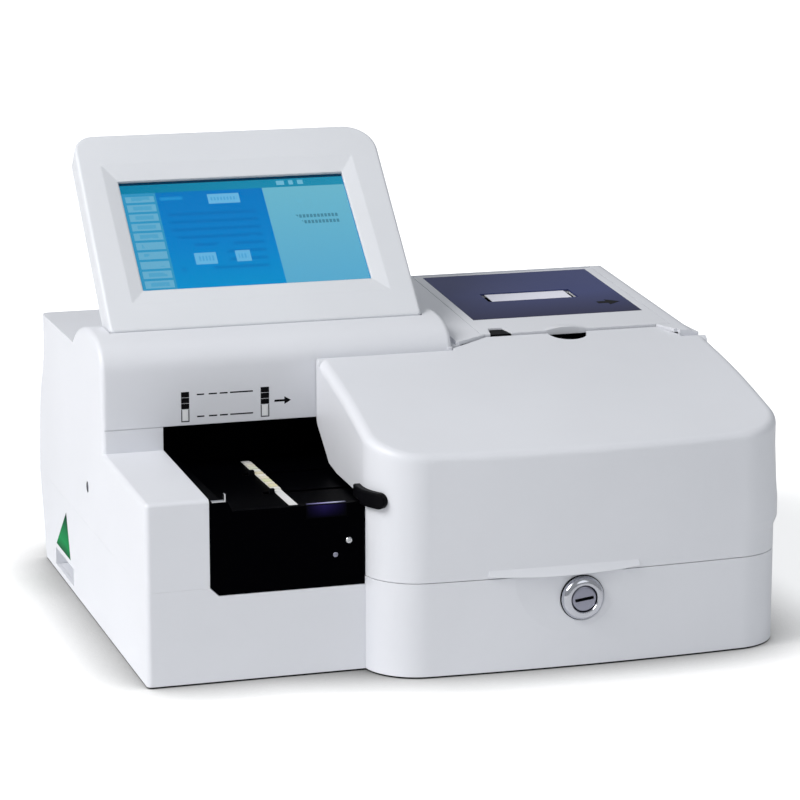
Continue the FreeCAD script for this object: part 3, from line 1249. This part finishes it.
def main_board():
    board = box(22, 180, 168, 298, BOARD_Z, BOARD_Z + 1.6)
    parts = [box(60, 88, 210, 238, BOARD_Z + 1.6, BOARD_Z + 4),
             box(110, 130, 190, 204, BOARD_Z + 1.6, BOARD_Z + 6),
             box(40, 100, 276, 284, BOARD_Z + 1.6, BOARD_Z + 10),
             box(130, 168, 240, 262, BOARD_Z + 1.6, BOARD_Z + 9)]
    return joined(board, *parts)


def power_supply():
    case = box(205, 385, 176, 270, FLOOR_TOP + 0.1, 46)
    slots = [box(222 + i * 12, 228 + i * 12, 190, 256, 44.8, 47) for i in range(12)]
    return case.cut(group(slots))


INLET_W, INLET_H = 25.0, 17.0
SWITCH_W, SWITCH_H = 16.0, 23.2
ROCKER_TILT = 8.0
SERIAL_X, SERIAL_Z = 224.0, 44.0
NET_X, USB_X, JACK_Z = 214.0, 236.0, 22.0


def rear_panel():
    gap = 0.3
    panel = box(NICHE_X0 + gap, NICHE_X1 - gap, NICHE_Y + 0.05, NICHE_Y + PANEL_T, NICHE_Z0 + gap,
                NICHE_Z1 - gap)

    def hole(x, z, w, h):
        return box(x - w / 2, x + w / 2, NICHE_Y - 2, NICHE_Y + 4, z - h / 2, z + h / 2)

    panel = panel.cut(hole(INLET_X, NICHE_MID_Z, INLET_W + 4, INLET_H + 4))
    panel = panel.cut(hole(SWITCH_X, NICHE_MID_Z, SWITCH_W + 3, SWITCH_H + 3))
    panel = panel.cut(hole(SERIAL_X, SERIAL_Z, 20, 10)).cut(hole(NET_X, JACK_Z, 16, 13)).cut(hole(USB_X,
            JACK_Z, 12, 11))
    for index in range(7):
        z = NICHE_MID_Z - 15 + index * 5
        half = math.sqrt(18.2 ** 2 - (z - NICHE_MID_Z) ** 2)
        panel = panel.cut(hole(FAN_X, z, 2 * half, 3.2))
    return panel


def mains_inlet():
    y0, y1 = NICHE_Y + PANEL_T, NICHE_Y + PANEL_T + 2
    flange = box(INLET_X - 16.5, INLET_X + 16.5, y0, y1, NICHE_MID_Z - 12.5, NICHE_MID_Z + 12.5)
    flange = fillet_where(flange, 4.0, lambda e: along(e, "y"))
    body = box(INLET_X - INLET_W / 2 - 1.8, INLET_X + INLET_W / 2 + 1.8, y1 - 24, y1 - 1,
               NICHE_MID_Z - INLET_H / 2 - 1.8,
               NICHE_MID_Z + INLET_H / 2 + 1.8)
    cavity = box(INLET_X - INLET_W / 2, INLET_X + INLET_W / 2, y1 - 17, y1 + 1, NICHE_MID_Z - INLET_H / 2,
                 NICHE_MID_Z + INLET_H / 2)
    cavity = fillet_where(cavity, 3.5, lambda e: along(e, "y") and e.BoundBox.ZMin > NICHE_MID_Z)
    inlet = joined(flange, body).cut(cavity)
    for dx, dz in ((-7, 2), (0, -2), (7, 2)):
        inlet = joined(inlet, box(INLET_X + dx - 1, INLET_X + dx + 1, y1 - 18, y1 - 4,
                                  NICHE_MID_Z + dz - 2, NICHE_MID_Z + dz + 2))
    return inlet


ROCKER_Y = NICHE_Y - 4.0


def switch_frame():
    y0, y1 = NICHE_Y + PANEL_T, NICHE_Y + PANEL_T + 2
    flange = box(SWITCH_X - SWITCH_W / 2 - 3, SWITCH_X + SWITCH_W / 2 + 3, y0, y1,
                 NICHE_MID_Z - SWITCH_H / 2 - 3.4,
                 NICHE_MID_Z + SWITCH_H / 2 + 3.4)
    body = box(SWITCH_X - SWITCH_W / 2 - 1.3, SWITCH_X + SWITCH_W / 2 + 1.3, y1 - 20, y1 - 1,
               NICHE_MID_Z - SWITCH_H / 2 - 1.3,
               NICHE_MID_Z + SWITCH_H / 2 + 1.3)
    hollow = box(SWITCH_X - SWITCH_W / 2, SWITCH_X + SWITCH_W / 2, y1 - 18, y1 + 1,
                 NICHE_MID_Z - SWITCH_H / 2, NICHE_MID_Z + SWITCH_H / 2)
    frame = joined(flange, body).cut(hollow)
    pin = rod_x(SWITCH_X - SWITCH_W / 2 - 0.5, SWITCH_X + SWITCH_W / 2 + 0.5, ROCKER_Y, NICHE_MID_Z, 1.2)
    return joined(frame, pin)


def power_rocker():
    half = SWITCH_H / 2 - 1.5
    points = [(ROCKER_Y - 2.5, NICHE_MID_Z - 3), (ROCKER_Y + 3, NICHE_MID_Z - half),
              (ROCKER_Y + 8.6, NICHE_MID_Z - half),
              (ROCKER_Y + 7.2, NICHE_MID_Z), (ROCKER_Y + 8.6, NICHE_MID_Z + half),
              (ROCKER_Y + 3, NICHE_MID_Z + half),
              (ROCKER_Y - 2.5, NICHE_MID_Z + 3)]
    rocker = slab_yz(points, SWITCH_X - SWITCH_W / 2 + 0.4, SWITCH_X + SWITCH_W / 2 - 0.4)
    rocker = rocker.cut(rod_x(SWITCH_X - 20, SWITCH_X + 20, ROCKER_Y, NICHE_MID_Z, 1.2 + RUN_CLEAR))
    rocker.rotate(V(0, ROCKER_Y, NICHE_MID_Z), V(1, 0, 0), ROCKER_TILT)
    return rocker


def data_ports():
    y1 = NICHE_Y + PANEL_T
    serial = box(SERIAL_X - 9, SERIAL_X + 9, y1 - 8, y1 + 5, SERIAL_Z - 4.4, SERIAL_Z + 4.4)
    serial = joined(serial, box(SERIAL_X - 15.5, SERIAL_X + 15.5, y1, y1 + 0.9, SERIAL_Z - 6.2,
                                SERIAL_Z + 6.2))
    serial = serial.cut(box(SERIAL_X - 8, SERIAL_X + 8, y1, y1 + 6, SERIAL_Z - 3.4, SERIAL_Z + 3.4))
    net = box(NET_X - 7.8, NET_X + 7.8, y1 - 14, y1 + 1, JACK_Z - 6.3, JACK_Z + 6.3)
    net = net.cut(box(NET_X - 6, NET_X + 6, y1 - 10, y1 + 2, JACK_Z - 4.6, JACK_Z + 4.6))
    usb = box(USB_X - 5.8, USB_X + 5.8, y1 - 14, y1 + 1, JACK_Z - 5.3, JACK_Z + 5.3)
    usb = usb.cut(box(USB_X - 4.4, USB_X + 4.4, y1 - 10, y1 + 2, JACK_Z - 4, JACK_Z + 4))
    usb = joined(usb, box(USB_X - 2.8, USB_X + 2.8, y1 - 11, y1 - 1, JACK_Z - 1.4, JACK_Z + 1.4))
    return group([serial, net, usb])


FAN_T = 10.0
FAN_BORE_R = 18.6


def fan_frame():
    y1 = NICHE_Y
    half = FAN_SIZE / 2
    frame = box(FAN_X - half, FAN_X + half, y1 - FAN_T, y1 - 0.05, NICHE_MID_Z - half, NICHE_MID_Z + half)
    frame = frame.cut(rod_y(y1 - FAN_T - 1, y1 + 1, FAN_X, NICHE_MID_Z, FAN_BORE_R))
    hub = rod_y(y1 - FAN_T, y1 - FAN_T + 1.6, FAN_X, NICHE_MID_Z, 9)
    arm = box(FAN_X - 1.4, FAN_X + 1.4, y1 - FAN_T, y1 - FAN_T + 1.6, NICHE_MID_Z - half + 0.6,
              NICHE_MID_Z + half - 0.6)
    cross = box(FAN_X - half + 0.6, FAN_X + half - 0.6, y1 - FAN_T, y1 - FAN_T + 1.6, NICHE_MID_Z - 1.4,
                NICHE_MID_Z + 1.4)
    spindle = rod_y(y1 - FAN_T, y1 - 3.4, FAN_X, NICHE_MID_Z, 1.5)
    return joined(frame, hub, arm, cross, spindle)


def fan_rotor():
    y0, y1 = NICHE_Y - FAN_T + 2.1, NICHE_Y - 1.2
    rotor = rod_y(y0, y1, FAN_X, NICHE_MID_Z, 8.5)
    for index in range(7):
        blade = box(FAN_X + 7.5, FAN_X + FAN_BORE_R - 0.8, y0, y1, NICHE_MID_Z - 0.6, NICHE_MID_Z + 0.6)
        blade.rotate(V(FAN_X + 12, (y0 + y1) / 2, NICHE_MID_Z), V(1, 0, 0), 38)
        blade.rotate(V(FAN_X, 0, NICHE_MID_Z), V(0, 1, 0), index * 360 / 7)
        rotor = joined(rotor, blade.common(rod_y(y0, y1, FAN_X, NICHE_MID_Z, FAN_BORE_R - 0.8)))
    return rotor.cut(rod_y(y0 - 1, NICHE_Y - 3.4 + 0.3, FAN_X, NICHE_MID_Z, 1.5 + RUN_CLEAR))


SIDE_SCREW_Y, SIDE_SCREW_Z, SIDE_SCREW_R = 169.3, 86.2, 3.4


def side_screw_pockets():
    deep = 1.3
    right = WIDTH - HOUSING_INSET
    return group([rod_x(-1, deep, SIDE_SCREW_Y, SIDE_SCREW_Z, SIDE_SCREW_R + 0.3),
                  rod_x(right - deep, right + 1, SIDE_SCREW_Y, SIDE_SCREW_Z, SIDE_SCREW_R + 0.3)])


def side_screws():
    right = WIDTH - HOUSING_INSET
    heads = [rod_x(0.2, 1.3, SIDE_SCREW_Y, SIDE_SCREW_Z, SIDE_SCREW_R),
             rod_x(right - 1.3, right - 0.2, SIDE_SCREW_Y, SIDE_SCREW_Z, SIDE_SCREW_R)]
    return group(heads)


MARK_T = 0.4


def mark_prism(grow):
    return slab_yz([(231 - grow, 20.5 - grow), (279 + grow, 20.5 - grow), (243, 51 + 2 * grow)],
                   -0.5 * (grow > 0), MARK_T)


def side_mark():
    """Plain green triangle let into the left wall."""
    return mark_prism(0)


PIECES = {
    "base_shell": base_shell,
    "floor_plate": floor_plate,
    "upper_shell": upper_shell,
    "rubber_feet": feet,
    "side_screws": side_screws,
    "side_mark": side_mark,
    "front_cover": front_cover,
    "cover_grip": cover_grip,
    "hinge_pins": hinge_pins,
    "lock_keeper": lock_keeper,
    "lock_body": lock_body,
    "lock_nut": lock_nut,
    "lock_plug": lock_plug,
    "lock_cam": lock_cam,
    "display_bezel": display_bezel,
    "display_back": display_back,
    "touch_glass": touch_glass,
    "lcd_panel": lcd_panel,
    "display_board": display_board,
    "display_shaft": display_shaft,
    "display_screws": display_screws,
    "fold_rests": fold_rests,
    "printer_lid": printer_lid,
    "lid_pins": lid_pins,
    "printer_plate": printer_plate,
    "printer_latch": printer_latch,
    "printer_bucket": printer_bucket,
    "roll_spindle": roll_spindle,
    "paper_roll": paper_roll,
    "paper_web": paper_web,
    "platen_roller": platen_roller,
    "print_head": print_head,
    "bay_platform": bay_platform,
    "bay_front_plate": bay_front_plate,
    "bay_screws": bay_screws,
    "strip_stop": strip_stop,
    "test_strip": test_strip,
    "strip_pads": strip_pads,
    "transport_frame": transport_frame,
    "guide_rods": guide_rods,
    "strip_rake": strip_rake,
    "drive_belt": drive_belt,
    "drive_pulley": drive_pulley,
    "idler_pulley": idler_pulley,
    "idler_axle": idler_axle,
    "rake_motor": rake_motor,
    "reader_head": reader_head,
    "reader_rods": reader_rods,
    "reader_frame": reader_frame,
    "waste_box": waste_box,
    "main_board": main_board,
    "power_supply": power_supply,
    "rear_panel": rear_panel,
    "mains_inlet": mains_inlet,
    "switch_frame": switch_frame,
    "power_rocker": power_rocker,
    "data_ports": data_ports,
    "fan_frame": fan_frame,
    "fan_rotor": fan_rotor,
}


def main():
    os.makedirs("parts", exist_ok=True)
    for name, make in PIECES.items():
        shape = make()
        shape.translate(SHIFT)
        if not shape.isValid():
            print("not valid", name)
        print(name, len(shape.Solids), round(shape.Volume / 1000, 1))
        shape.exportStep(f"parts/{name}.step")


main()
